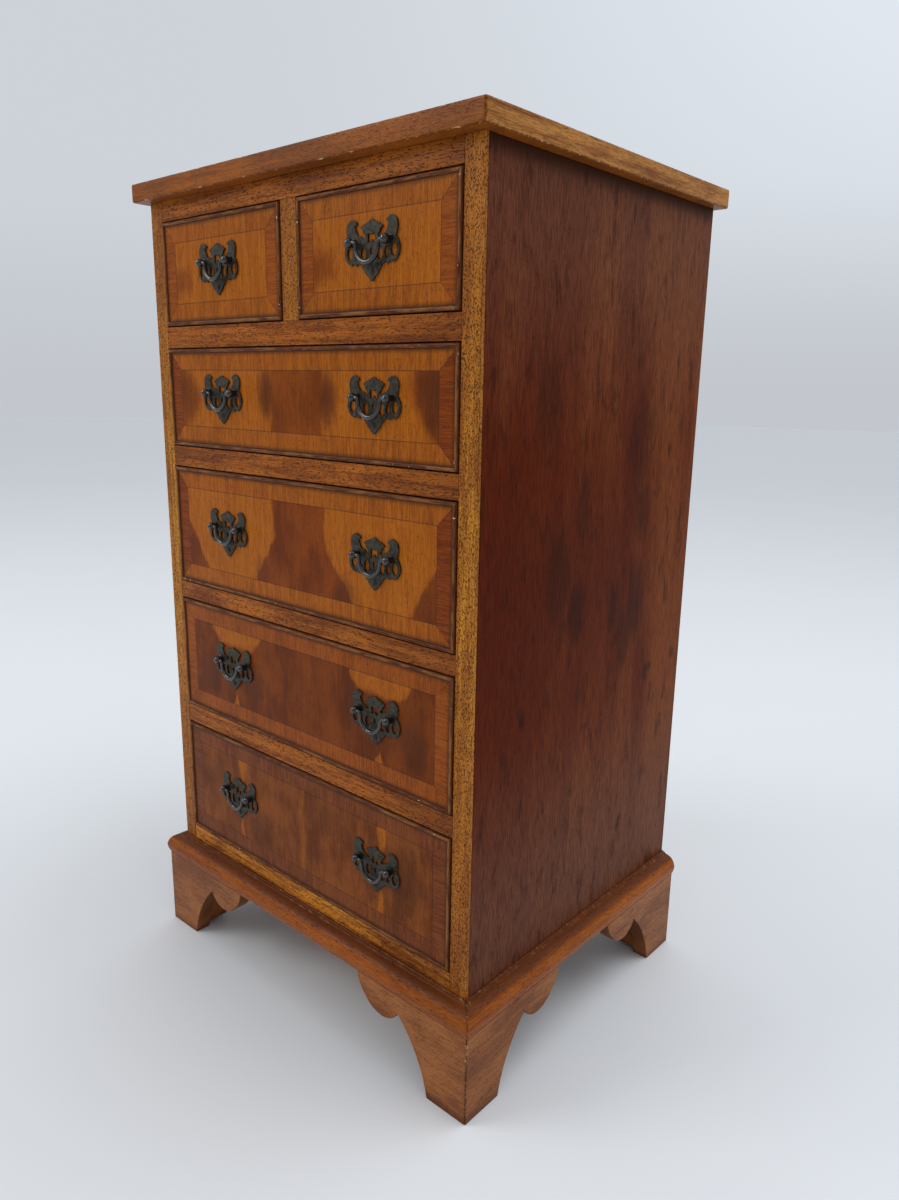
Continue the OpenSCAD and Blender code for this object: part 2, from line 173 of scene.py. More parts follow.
def lengths(along, across, length):
    """Sizes along x, y and z of something long in the direction of the grain."""
    sizes = [across, across, across]
    sizes["xyz".index(along)] = length
    return tuple(sizes)


class Surface:
    """A material, with the resting place of each point in millimetres as x, y and z."""

    def __init__(self, name):
        self.material = bpy.data.materials.new(name)
        self.material.use_nodes = True
        self.tree = self.material.node_tree
        self.tree.nodes.clear()
        coordinates = self.tree.nodes.new("ShaderNodeTexCoord")
        self.place = self.vector_math("SCALE", coordinates.outputs["Object"], scale=1000.0)
        self.x, self.y, self.z = self.split(self.place)
        facing = self.split(coordinates.outputs["Normal"])
        self.faces_front = (-facing[1]).rise(0.6, 0.9)
        self.facing = facing
        self.seeds = 0

    def split(self, vector):
        node = self.tree.nodes.new("ShaderNodeSeparateXYZ")
        self.tree.links.new(vector, node.inputs[0])
        return [Field(self.tree, output) for output in node.outputs]

    def join(self, x, y, z):
        node = self.tree.nodes.new("ShaderNodeCombineXYZ")
        for value, socket in zip((x, y, z), node.inputs):
            put(self.tree, value, socket)
        return node.outputs[0]

    def vector_math(self, operation, vector, other=None, scale=None):
        node = self.tree.nodes.new("ShaderNodeVectorMath")
        node.operation = operation
        self.tree.links.new(vector, node.inputs[0])
        if other is not None:
            node.inputs[1].default_value = other
        if scale is not None:
            node.inputs["Scale"].default_value = scale
        return node.outputs[0]

    def choose(self, amount, first, second):
        """The place first where amount is 0, and second where it is 1."""
        node = self.tree.nodes.new("ShaderNodeMix")
        node.data_type = "VECTOR"
        put(self.tree, amount, node.inputs[0])
        put(self.tree, first, node.inputs[4])
        put(self.tree, second, node.inputs[5])
        return node.outputs[1]

    def tint(self, rgb):
        return Tint(self.tree, rgb)

    def noise(self, size, detail=2.0, roughness=0.55, place=None):
        """Random values round 0.5, changing over the given sizes along x, y and z."""
        if isinstance(size, (int, float)):
            size = (size, size, size)
        self.seeds += 1
        place = self.place if place is None else place
        place = self.vector_math("DIVIDE", place, other=size)
        place = self.vector_math("ADD", place, other=(self.seeds * 7.3, self.seeds * 3.1, self.seeds * 5.7))
        node = self.tree.nodes.new("ShaderNodeTexNoise")
        node.inputs["Scale"].default_value = 1.0
        node.inputs["Detail"].default_value = detail
        node.inputs["Roughness"].default_value = roughness
        self.tree.links.new(place, node.inputs["Vector"])
        return Field(self.tree, node.outputs[0])

    def edge(self, radius):
        """1 on edges that stick out, 0 on the flat."""
        bevel = self.tree.nodes.new("ShaderNodeBevel")
        bevel.samples = 4
        bevel.inputs["Radius"].default_value = radius / 1000.0
        geometry = self.tree.nodes.new("ShaderNodeNewGeometry")
        node = self.tree.nodes.new("ShaderNodeVectorMath")
        node.operation = "DOT_PRODUCT"
        self.tree.links.new(bevel.outputs[0], node.inputs[0])
        self.tree.links.new(geometry.outputs["Normal"], node.inputs[1])
        return Field(self.tree, node.outputs["Value"]).fall(0.90, 0.995)

    def arris(self):
        """1 on the rounded edges of a square-cut board, 0 on its flat faces."""
        flattest = abs(self.facing[0]).most(abs(self.facing[1])).most(abs(self.facing[2]))
        return flattest.fall(0.80, 0.985)

    def finish(self, colour, roughness, bump, depth=0.1, metallic=0.0, coat=0.0,
               coat_roughness=0.2, specular=0.12):
        """Puts colour, roughness and bump, whose full height is depth in mm, on the shader."""
        shader = self.tree.nodes.new("ShaderNodeBsdfPrincipled")
        shader.inputs["Metallic"].default_value = metallic
        shader.inputs["Coat Weight"].default_value = coat
        shader.inputs["Coat Roughness"].default_value = coat_roughness
        shader.inputs["Specular IOR Level"].default_value = specular
        put(self.tree, colour, shader.inputs["Base Color"])
        put(self.tree, roughness, shader.inputs["Roughness"])
        relief = self.tree.nodes.new("ShaderNodeBump")
        relief.inputs["Strength"].default_value = 1.0
        relief.inputs["Distance"].default_value = depth / 1000.0
        put(self.tree, bump, relief.inputs["Height"])
        self.tree.links.new(relief.outputs[0], shader.inputs["Normal"])
        output = self.tree.nodes.new("ShaderNodeOutputMaterial")
        self.tree.links.new(shader.outputs[0], output.inputs[0])
        return self.material


def give(material, *nodes):
    """Puts a material on CAD nodes."""
    for name in nodes:
        mesh = frame["nodes"][name].data
        mesh.materials.clear()
        mesh.materials.append(material)


# ---------- wood ----------

FLECK = (0.045, 0.012, 0.004)
DARK_STAIN = (0.075, 0.018, 0.005)
# dark brown for grime on worn edges, and for painted shade under the top board and beside the cock beads
GRIME_AND_SHADE = (0.035, 0.012, 0.005)
SMOKE = (0.060, 0.016, 0.005)
BARE = (0.56, 0.36, 0.17)       # bare wood where the finish has chipped


def plain_wood(name, along, light, dark, flecks=0.6, fleck=(0.7, 4.0), cloud=0.5, streak=1.6,
               dense=0.0, roughness=0.34, wear=0.0, square=False, stain=None,
               turns=None, worn_edge=None):
    """Solid lacquered wood: streaks, fibres, pore flecks, cloudy tone and worn edges.
    Where turns(surface) is 1, the grain runs along y instead of x.
    worn_edge(surface) says where the edges are, in place of the geometry."""
    s = Surface(name)
    place = s.place
    if turns is not None:
        place = s.choose(turns(s), s.place, s.join(s.y, s.x, s.z))
    streaks = s.noise(lengths(along, 4.0, 90.0), detail=4, roughness=0.6, place=place)
    fibres = s.noise(lengths(along, 0.9, 14.0), detail=3, roughness=0.7, place=place)
    tone = s.noise(lengths(along, 30.0, 70.0), detail=3, place=place)
    pores = s.noise(lengths(along, *fleck), detail=1, roughness=0.5, place=place)
    dashes = pores.rise(0.57 - dense, 0.67 - dense)
    depth = (streaks - 0.5) * streak + (fibres - 0.5) * 1.7 + (tone - 0.5) * (3.0 * cloud) + 0.5
    colour = s.tint(light(s) if callable(light) else light).toward(dark, depth.rise(0.0, 1.0))
    if stain is not None:
        colour = colour.toward(DARK_STAIN, stain(s))
    colour = colour.toward(FLECK, dashes * flecks)
    bump = fibres * 0.4 - dashes * 0.6
    if wear:
        chips = s.noise(lengths(along, 2.6, 7.0), detail=3, roughness=0.65)
        if worn_edge is not None:
            edges = worn_edge(s)
        else:
            edges = s.arris() if square else s.edge(1.2)
        colour = colour.toward(GRIME_AND_SHADE, edges * chips.fall(0.46, 0.56) * 0.6)
        colour = colour.toward(BARE, edges * chips.rise(0.58, 0.64) * wear)
    gloss = roughness + (fibres - 0.5) * 0.15 + dashes * 0.2
    return s.finish(colour, gloss, bump, depth=0.12, specular=0.1)


def patch(across, up, spot, core, rim):
    """The strength of an oval spot inside it, fading out from core to rim.
    A spot is (across, up, half width, half height, strength)."""
    at_across, at_up, wide, tall, strength = spot
    away = ((across - at_across) / wide).math("POWER", 2.0)
    away = away + ((up - at_up) / tall).math("POWER", 2.0)
    return away.fall(core, rim) * strength


# cloudy knots of the side veneer: (y, z, half width, half height, strength)
SIDE_KNOTS = [
    (-23, 328, 12, 26, 0.8), (25, 324, 9, 22, 0.8), (58, 322, 16, 34, 0.7),
    (42, 298, 14, 30, 0.6), (-47, 356, 16, 40, 0.6), (-62, 470, 16, 34, 0.45),
    (52, 440, 22, 44, 0.5), (60, 392, 14, 26, 0.55), (-20, 400, 12, 30, 0.5),
    (-80, 266, 4, 9, 0.8), (57, 143, 4, 9, 0.8), (81, 261, 4, 10, 0.8),
]


def side_veneer(name):
    """Dark red-brown veneer with vertical grain, cloudy streaks and a few knots."""
    s = Surface(name)
    sway = s.noise((60.0, 60.0, 130.0), detail=2)
    along = s.join(s.x, s.y + (sway - 0.5) * 26.0, s.z)
    streaks = s.noise((7.0, 7.0, 170.0), detail=4, roughness=0.6, place=along)
    broad = s.noise((30.0, 30.0, 200.0), detail=3, place=along)
    clouds = s.noise((11.0, 11.0, 30.0), detail=5, roughness=0.65, place=along)
    fibres = s.noise((0.9, 0.9, 11.0), detail=3, roughness=0.7)
    pores = s.noise((0.8, 0.8, 5.0), detail=2)
    dashes = pores.rise(0.60, 0.70)
    red = (0.125, 0.018, 0.002)
    orange = (0.225, 0.056, 0.011)
    shadow = (0.040, 0.009, 0.003)
    toward_back = s.y.rise(-130.0, 110.0)
    lighter = (broad - 0.5) * 2.2 + (streaks - 0.5) * 0.9 + toward_back * 0.65 - 0.02
    colour = s.tint(red).toward(orange, lighter.rise(0.0, 1.0))
    heart = s.z.hump(350.0, 200.0) * s.y.fall(20.0, 120.0)
    colour = colour.toward((0.095, 0.012, 0.002), heart * 0.75)
    # painted reflection: a pale grey-brown haze of glare near the top and near the bottom of the side
    painted_glare = s.z.rise(420.0, 600.0) * 0.5
    painted_glare = painted_glare.most(s.z.fall(120.0, 270.0) * 0.58)
    colour = colour.toward((0.175, 0.078, 0.048), painted_glare)
    darker = clouds.rise(0.53, 0.68) * 0.6
    bent = (sway - 0.5) * 18.0 + (clouds - 0.5) * 26.0
    for knot in SIDE_KNOTS:
        darker = darker.most(patch(s.y + bent, s.z, knot, 0.1, 1.2))
    colour = colour.toward(shadow, darker * 0.95)
    pips = s.noise((1.1, 1.1, 2.2), detail=1).rise(0.69, 0.73) * clouds.rise(0.42, 0.56)
    colour = colour.toward(FLECK, (dashes * 0.5).most(pips * 0.9))
    colour = colour.times((0.56, 0.52, 0.50), ((fibres - 0.5) * 3.4 + 0.42).rise(0.0, 1.0))
    # painted shadow: darker over the top 11 mm of the side, under the overhang of the top board
    colour = colour.toward(GRIME_AND_SHADE, s.z.rise(594.0, 605.0) * 0.9)
    gloss = 0.30 + (fibres - 0.5) * 0.10 + dashes * 0.15
    return s.finish(colour, gloss, fibres * 0.35 - dashes * 0.5, depth=0.06, specular=0.03)


# ---------- drawer fronts ----------

def span(value, low, high, soft):
    """1 between low and high, which may be fields, with edges soft millimetres wide."""
    return (value - low).rise(-soft, soft) * (value - high).fall(-soft, soft)


def figure_small(x, z, left, low):
    """Light all over, with one small dark patch low down at the inner corner."""
    return span(z, low + 10.0, low + 27.0, 6.0) * (x - left).fall(16.0, 26.0) * 0.7


def figure_second(x, z):
    """A dark panel in the middle with soft shoulders, and dark patches at both ends."""
    shoulder = z.hump(470.0, 34.0)
    panel = span(x, -24.0, 29.0, 1.5)
    halo = span(x, -31.0 - shoulder * 5.0, 36.0 + shoulder * 5.0, 7.0) * shoulder
    left = (x - (-131.0 + z.hump(466.0, 30.0) * 21.0)).fall(-6.0, 9.0)
    right = (x - (131.0 - z.hump(476.0, 36.0) * 20.0)).rise(-9.0, 5.0)
    return (panel * 0.85).most(halo * 0.85).most(left * 0.8).most(right * 0.9)


def figure_third(x, z):
    """A dark bell that flares to the bottom in the middle, and dark wedges at both ends."""
    flare = z.fall(330.0, 374.0)
    bell = span(x, -25.0 - flare * 22.0, 31.0 + flare * 26.0, 1.6)
    left = (x + 133.0 - (370.0 - z) * 0.66).fall(-1.5, 2.5) * z.fall(366.0, 371.0)
    right = (x - 136.0 + (372.0 - z) * 0.64).rise(-2.5, 1.5) * z.fall(368.0, 373.0)
    return bell.most(left).most(right)


def figure_fourth(x, z):
    """Dark, with light patches above the handles and thin light spikes below them."""
    up = z.rise(274.0, 290.0)
    light = span(x, -99.0 - up * 9.0, -56.0 + up * 10.0, 2.5) * z.rise(272.0, 278.0)
    light = light.most(span(x, 62.0 - up * 8.0, 103.0 + up * 10.0, 2.5) * z.rise(273.0, 279.0))
    spike = z.rise(228.0, 240.0)
    light = light.most(span(x, -83.0 + spike * 3.0, -76.0 - spike * 3.0, 0.9) * z.fall(236.0, 241.0))
    light = light.most(span(x, 80.5 + spike * 3.0, 87.0 - spike * 3.0, 0.9) * z.fall(234.0, 239.0))
    return 1.0 - light * 0.92


def figure_bottom(x, z):
    """Dark and cloudy, with pale vertical flames above and below the handles."""
    up = z.rise(158.0, 182.0)
    down = z.fall(114.0, 130.0)
    flames = span(x, -77.0 - up * 5.0, -75.0 + up * 5.0, 1.8) * z.rise(157.0, 164.0)
    flames = flames.most(span(x, 85.0 - up * 4.5, 86.0 + up * 5.0, 1.8) * z.rise(156.0, 163.0))
    flames = flames.most(span(x, -79.0 - down * 2.0, -77.5 + down * 2.5, 1.2) * z.fall(126.0, 131.0))
    flames = flames.most(span(x, 84.0 - down * 3.0, 85.0 + down * 3.0, 1.2) * z.fall(128.0, 133.0))
    flames = flames.most(span(x, -4.0, 2.0, 1.5) * 0.3)
    return 1.0 - flames * 0.85


# darker clouds in the drawer veneers: (x, z, half width, half height, strength)
SMOKE_SECOND = [(-30, 470, 8, 16, 0.55), (36, 468, 8, 16, 0.55), (130, 474, 14, 24, 0.6),
                (-132, 464, 10, 16, 0.4)]
SMOKE_THIRD = [(-40, 338, 10, 14, 0.4), (50, 336, 12, 16, 0.55), (126, 338, 10, 14, 0.35)]
SMOKE_FOURTH = [(-112, 246, 16, 18, 0.5), (-56, 250, 14, 16, 0.45), (114, 250, 14, 18, 0.55),
                (58, 262, 12, 14, 0.35)]
SMOKE_BOTTOM = [(108, 150, 14, 26, 0.45), (-52, 128, 16, 16, 0.4), (30, 164, 14, 14, 0.4),
                (-112, 150, 12, 24, 0.3)]
HAIRLINE = 0.15         # half the width over which two veneers meet


def edge_distances(s, name):
    """Distances to the nearer upright edge and to the nearer level edge of a drawer's front."""
    left, right, low, high = DRAWERS[name]
    to_side = (right - left) / 2.0 - abs(s.x - (left + right) / 2.0)
    to_end = (s.z - low).least(high - s.z)
    return to_side, to_end


def veneer_lines(s, inwards, from_mitre, field, joint_x):
    """Dark glue lines round the field, along the mitres and at the joint of the two leaves."""
    mitre = from_mitre.fall(HAIRLINE, 0.45) * inwards.fall(BAND, BAND + 0.4)
    lines = abs(inwards - BAND).fall(0.2, 0.5).most(mitre)
    if joint_x is not None:
        lines = lines.most(abs(s.x - joint_x).fall(0.15, 0.5) * field * 0.7)
    return lines


def drawer_front(name, figure, light, dark, band_end, band_side, joint_x=None, cloud=0.2,
                 smoke=()):
    """Bookmatched veneer framed in crossbanding with mitred corners, on a solid core."""
    s = Surface(name + "_veneer")
    to_side, to_end = edge_distances(s, name)
    inwards = to_side.least(to_end)
    field = inwards.rise(BAND - HAIRLINE, BAND + HAIRLINE)
    side_band = (to_end - to_side).rise(-HAIRLINE, HAIRLINE) * (1.0 - field)

    # grain runs up and down, and across in the bands at the two ends
    place = s.choose(side_band, s.place, s.join(s.z, s.y, s.x))
    streaks = s.noise((2.6, 2.6, 70.0), detail=4, roughness=0.6, place=place)
    fibres = s.noise((0.8, 0.8, 12.0), detail=3, roughness=0.7, place=place)
    pores = s.noise((0.6, 0.6, 2.4), detail=1, place=place)
    clouds = s.noise((24.0, 24.0, 40.0), detail=3)
    knots = s.noise((2.0, 2.0, 2.6), detail=1).rise(0.78, 0.81)
    dashes = pores.rise(0.60, 0.70)

    wobble = s.noise((5.0, 5.0, 22.0), detail=3)
    x = s.x + (wobble - 0.5) * 9.0
    z = s.z + (clouds - 0.5) * 10.0
    dark_amount = figure(x, z)
    shade = (streaks - 0.5) * 1.5 + (fibres - 0.5) * 2.8 + (clouds - 0.5) * (4.0 * cloud) + 0.5
    shade = shade.rise(0.0, 1.0)
    light_wood = s.tint(light[0]).toward(light[1], shade)
    smoky = (clouds - 0.5) * 2.6 + (streaks - 0.5) * 0.6 + (fibres - 0.5) * 1.2 + 0.5
    dark_wood = s.tint(dark[0]).toward(dark[1], smoky.rise(0.0, 1.0))
    colour = light_wood.toward(dark_wood, dark_amount)
    for cloud_spot in smoke:
        colour = colour.toward(SMOKE, patch(x, z, cloud_spot, 0.0, 1.6))
    ends = s.tint(band_end[0]).toward(band_end[1], shade)
    sides = s.tint(band_side[0]).toward(band_side[1], shade)
    framing = ends.toward(sides, side_band)
    colour = framing.toward(colour, field)

    lines = veneer_lines(s, inwards, abs(to_end - to_side), field, joint_x)
    colour = colour.toward((0.035, 0.014, 0.006), lines * 0.55)
    colour = colour.toward(FLECK, dashes * 0.5)
    colour = colour.toward(FLECK, knots * 0.7)
    # painted shade: darker veneer from 2.5 to 6.5 mm in from the edge, beside the cock bead
    colour = colour.toward(GRIME_AND_SHADE, inwards.fall(2.5, 6.5) * 0.7)

    core = s.tint((0.17, 0.075, 0.035)).toward((0.26, 0.13, 0.065), s.noise((60.0, 2.0, 2.0), detail=3))
    colour = core.toward(colour, s.faces_front)
    gloss = 0.32 + (fibres - 0.5) * 0.10 + dashes * 0.15
    bump = fibres * 0.3 - dashes * 0.4 - lines * 0.5
    material = s.finish(colour, gloss, bump, depth=0.07, specular=0.08)
    give(material, name + "_front")


def cock_beads(name):
    """Dark brown beads, rubbed tan along the crest, with pale chips near the corners."""
    s = Surface(name + "_bead_wood")
    to_side, to_end = edge_distances(s, name)
    upright = (to_end - to_side).rise(-0.1, 0.1)
    place = s.choose(upright, s.place, s.join(s.z, s.y, s.x))
    rub = s.noise((24.0, 6.0, 6.0), detail=4, roughness=0.6, place=place)
    fine = s.noise((9.0, 0.9, 0.9), detail=3, place=place)
    crest = s.y.fall(FRONT_Y - 1.15, FRONT_Y - 0.6)
    colour = s.tint((0.050, 0.012, 0.003)).toward((0.13, 0.034, 0.006), fine.rise(0.3, 0.7))
    worn = crest * (rub * 0.9 + fine * 0.5 + upright * 0.06).rise(0.62, 0.88)
    colour = colour.toward((0.30, 0.125, 0.035), worn * 0.7)
    near_corner = to_side.most(to_end).fall(4.0, 30.0)
    chips = (s.noise((3.2, 3.2, 3.2), detail=2) + near_corner * 0.06).rise(0.73, 0.77)
    colour = colour.toward((0.62, 0.46, 0.31), chips * crest)
    gloss = 0.40 - worn * 0.05 + (fine - 0.5) * 0.15
    material = s.finish(colour, gloss, fine * 0.4 - chips, depth=0.12)
    give(material, name + "_cock_beads")


def drawer_insides():
    """Pale unpolished drawer sides and bottoms."""
    s = Surface("drawer_lining_wood")
    streaks = s.noise((70.0, 90.0, 5.0), detail=4)
    fibres = s.noise((14.0, 14.0, 0.7), detail=3)
    stains = s.noise(60.0, detail=4).rise(0.5, 0.8)
    colour = s.tint((0.44, 0.29, 0.165)).toward((0.31, 0.185, 0.095), streaks.rise(0.3, 0.7))
    colour = colour.toward((0.20, 0.12, 0.065), fibres.rise(0.55, 0.75) * 0.5)
    colour = colour.toward((0.24, 0.15, 0.085), stains * 0.35)
    material = s.finish(colour, 0.68 + (fibres - 0.5) * 0.2, fibres, depth=0.1, specular=0.3)
    give(material, *[name + "_box" for name in DRAWERS])

    s = Surface("drawer_bottom_ply")
    streaks = s.noise((80.0, 6.0, 6.0), detail=4)
    fibres = s.noise((20.0, 0.8, 0.8), detail=3)
    colour = s.tint((0.46, 0.31, 0.18)).toward((0.36, 0.22, 0.12), streaks.rise(0.3, 0.7))
    colour = colour.toward((0.24, 0.15, 0.08), fibres.rise(0.58, 0.75) * 0.45)
    material = s.finish(colour, 0.66 + (fibres - 0.5) * 0.2, fibres, depth=0.08, specular=0.3)
    give(material, *[name + "_bottom" for name in DRAWERS])


# ---------- metal ----------

def handle_metal(name, base, high, roughness, metallic, coat):
    """Blackened bronze: dark patina, red-brown edges and a little green-grey mottling."""
    s = Surface(name)
    mottle = s.noise(2.6, detail=4, roughness=0.65)
    fine = s.noise(0.7, detail=3)
    edges = s.edge(0.4)
    colour = s.tint(base).toward(high, mottle.rise(0.35, 0.65))
    colour = colour.toward((0.048, 0.014, 0.007), edges * 0.8)
    gloss = roughness + (mottle - 0.5) * 0.3
    return s.finish(colour, gloss, mottle * 0.6 + fine * 0.5, depth=0.12, metallic=metallic,
                    coat=coat, coat_roughness=0.05, specular=0.25)


# ---------- the parts ----------

def round_edges(node, width, segments=2, angle=30.0):
    """Rounds the sharp edges of a CAD node, without moving its own vertices."""
    piece = frame["nodes"][node]
    for polygon in piece.data.polygons:
        polygon.use_smooth = True
    weld = piece.modifiers.new("weld", "WELD")
    weld.merge_threshold = 1e-6
    flat = piece.modifiers.new("flat faces", "DECIMATE")
    flat.decimate_type = "DISSOLVE"
    flat.angle_limit = math.radians(0.5)
    bevel = piece.modifiers.new("rounded edges", "BEVEL")
    bevel.width = width / 1000.0
    bevel.segments = segments
    bevel.limit_method = "ANGLE"
    bevel.angle_limit = math.radians(angle)
    bevel.use_clamp_overlap = True
    normals = piece.modifiers.new("normals", "WEIGHTED_NORMAL")
    normals.keep_sharp = False


def carcass():
    def lighter_end(s):
        return s.tint((0.33, 0.092, 0.010)).toward((0.50, 0.215, 0.045), s.facing[0].rise(0.5, 0.9))

    def toward_right_end(s):
        return s.x.rise(60.0, 150.0) * 0.35

    def side_edge(s):
        return abs(s.facing[0]).rise(0.6, 0.8)

    def past_mitre(s):
        return (abs(s.x) - SIDE_X + s.y - FRONT_Y).rise(-0.1, 0.1)

    def rail_light(s):
        return s.tint((0.42, 0.120, 0.011)).toward((0.60, 0.215, 0.022), s.z.fall(99.0, 110.0))

    def foot_corner(s):
        across = (FOOT_X - abs(s.x)) + (s.y - FOOT_Y)
        return across.fall(0.4, 2.0)

    def sawn_or_low(s):
        sawn = abs(s.facing[2]).rise(0.1, 0.4) * 0.55
        return sawn.most(s.z.fall(0.5, 9.0) * 0.6)

    def stile_light(s):
        gold = s.z.hump(370.0, 230.0)
        return s.tint((0.42, 0.140, 0.016)).toward((0.58, 0.235, 0.020), gold)

    top = plain_wood("top_wood_edged", "x", lighter_end, (0.19, 0.054, 0.009), flecks=0.45,
                     fleck=(0.5, 3.0), wear=0.95, square=True, turns=side_edge)
    give(top, "top_board")
    for side in ("left", "right"):
        give(side_veneer(side + "_side_veneer"), side + "_side")
    stile = plain_wood("stile_wood", "z", stile_light, (0.27, 0.080, 0.010), flecks=0.85,
                       fleck=(0.6, 1.2), dense=0.05, streak=2.0, wear=0.7, square=True)
    give(stile, "front_stiles", "centre_divider")
    rail = plain_wood("rail_wood_flecked", "x", rail_light, (0.18, 0.043, 0.005),
                      flecks=0.8, fleck=(0.6, 2.6), dense=0.02, streak=2.4,
                      stain=toward_right_end)
    give(rail, "front_rails")
    moulding = plain_wood("moulding_wood_worn", "x", (0.36, 0.096, 0.012), (0.18, 0.043, 0.006),
                          flecks=0.6, streak=0.8, wear=0.8,
                          stain=lambda s: s.z.rise(78.5, 82.0) * 0.75, turns=past_mitre)
    give(moulding, "base_moulding")
    foot = plain_wood("foot_wood_mottled", "x", (0.37, 0.135, 0.040), (0.19, 0.060, 0.019),
                      flecks=0.5, fleck=(0.7, 2.2), cloud=0.8, streak=0.8, wear=0.9,
                      stain=sawn_or_low, turns=past_mitre, worn_edge=foot_corner)
    give(foot, *["foot_" + corner for corner in ("front_left", "front_right", "back_left", "back_right")])
    inner = plain_wood("inner_wood_plain", "y", (0.36, 0.22, 0.12), (0.24, 0.135, 0.07), flecks=0.3,
                       roughness=0.62)
    give(inner, "drawer_runners", "bottom_board")
    back = plain_wood("back_board_plain", "z", (0.33, 0.20, 0.115), (0.22, 0.125, 0.066), flecks=0.3,
                      cloud=0.3, streak=1.0, roughness=0.62)
    give(back, "back_panel")


def drawer_fronts():
    light = ((0.42, 0.122, 0.006), (0.31, 0.076, 0.004))
    brown = ((0.23, 0.048, 0.003), (0.13, 0.024, 0.001))
    deep = ((0.20, 0.043, 0.003), (0.11, 0.021, 0.001))
    cloudy = ((0.24, 0.066, 0.010), (0.12, 0.028, 0.004))
    ends = ((0.40, 0.110, 0.007), (0.24, 0.058, 0.004))
    red = ((0.24, 0.050, 0.005), (0.14, 0.025, 0.003))
    amber = ((0.33, 0.080, 0.008), (0.20, 0.045, 0.005))
    dull = ((0.21, 0.056, 0.013), (0.125, 0.030, 0.008))

    warm = ((0.32, 0.078, 0.006), (0.20, 0.042, 0.004))
    for name, inner in (("top_left_drawer", -149.0), ("top_right_drawer", 8.75)):
        left = inner + BAND
        drawer_front(name, lambda x, z, left=left: figure_small(x, z, left, 530.0),
                     light, brown, ends, warm)
    drawer_front("second_drawer", figure_second, light, brown, ends, red,
                 smoke=SMOKE_SECOND)
    drawer_front("third_drawer", figure_third, light, brown, ends, red,
                 smoke=SMOKE_THIRD)
    drawer_front("fourth_drawer", figure_fourth, light, deep, amber, amber, joint_x=3.0, cloud=0.35,
                 smoke=SMOKE_FOURTH)
    drawer_front("bottom_drawer", figure_bottom, light, cloudy, dull, dull, joint_x=3.0, cloud=0.5,
                 smoke=SMOKE_BOTTOM)


def handles():
    plate = handle_metal("plate_metal", (0.016, 0.013, 0.008), (0.052, 0.046, 0.029), 0.42, 0.2, 0.0)
    rod = handle_metal("rod_metal", (0.004, 0.0035, 0.003), (0.012, 0.010, 0.007), 0.26, 0.2, 1.0)
    for name in DRAWERS:
        give(plate, name + "_handle_plates")
        give(rod, name + "_handle_posts")
    for node in frame["nodes"]:
        if node.endswith("_bail"):
            give(rod, node)
            bail(node, rod)


BAIL_NECK = 2.2         # radius of the bends at the top of a bail
BAIL_BOW = 9.7          # radius of its bow
BAIL_PIN = 16.5         # half the distance between the ends of its pins
BAIL_ROD = 1.2          # radius of its rod at the pins
BAIL_SWELL = 0.45       # how much thicker the middle of the bow is


def bail_line():
    """Points (x, z) of half a bail from its pivot line, pin first, then bend and bow."""
    points = [(BAIL_PIN, 0.0), (BAIL_PIN - 2.0, 0.0)]
    for step in range(9):
        angle = math.radians(90.0 * step / 8)
        points.append((BAIL_BOW + BAIL_NECK * (1.0 - math.sin(angle)),
                       -BAIL_NECK * (1.0 - math.cos(angle))))
    for step in range(1, 21):
        angle = math.radians(90.0 * step / 20)
        points.append((BAIL_BOW * math.cos(angle), -BAIL_NECK - BAIL_BOW * math.sin(angle)))
    return points


def bail(node, material):
    """A bail whose round rod swells towards the middle of the bow, in place of the plain one."""
    low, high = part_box(node)
    middle_x = (low.x + high.x) / 2.0
    middle_y = (low.y + high.y) / 2.0
    pivot_z = high.z - BAIL_ROD / 1000.0
    half = bail_line()
    line = half + [(-x, z) for x, z in reversed(half[:-1])]
    ring = 16
    vertices = []
    for i, (x, z) in enumerate(line):
        before = line[max(i - 1, 0)]
        after = line[min(i + 1, len(line) - 1)]
        run = Vector((after[0] - before[0], 0.0, after[1] - before[1])).normalized()
        out = Vector((-run.z, 0.0, run.x))
        drop = min(max((-z - BAIL_NECK) / BAIL_BOW, 0.0), 1.0)
        radius = BAIL_ROD + BAIL_SWELL * drop ** 1.5
        for k in range(ring):
            turn = 2.0 * math.pi * k / ring
            point = Vector((x, 0.0, z)) + out * (radius * math.cos(turn))
            point.y += radius * math.sin(turn)
            vertices.append(Vector((middle_x, middle_y, pivot_z)) + point / 1000.0)
    faces = []
    for i in range(len(line) - 1):
        for k in range(ring):
            a = i * ring + k
            b = i * ring + (k + 1) % ring
            faces.append((a, a + ring, b + ring, b))
    faces.append(tuple(range(ring)))
    faces.append(tuple(reversed(range(len(vertices) - ring, len(vertices)))))
    mesh = bpy.data.meshes.new(node + "_swelled")
    mesh.from_pydata(vertices, [], faces)
    for polygon in mesh.polygons:
        polygon.use_smooth = len(polygon.vertices) == 4
    mesh.materials.append(material)
    piece = bpy.data.objects.new(node + "_swelled", mesh)
    bpy.context.scene.collection.objects.link(piece)
    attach(piece, node)
    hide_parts(node)


def rounding():
    round_edges("top_board", 1.4, 3)
    for node in ("left_side", "right_side", "front_stiles", "front_rails", "centre_divider",
                 "base_moulding", "foot_front_left", "foot_front_right", "foot_back_left",
                 "foot_back_right", "back_panel", "bottom_board", "drawer_runners"):
        round_edges(node, 0.5)
    for name in DRAWERS:
        round_edges(name + "_front", 0.3)
        round_edges(name + "_cock_beads", 0.25)
        round_edges(name + "_box", 0.5)
        round_edges(name + "_bottom", 0.4)
        round_edges(name + "_handle_plates", 0.25)


# ---------- floor, light and camera ----------

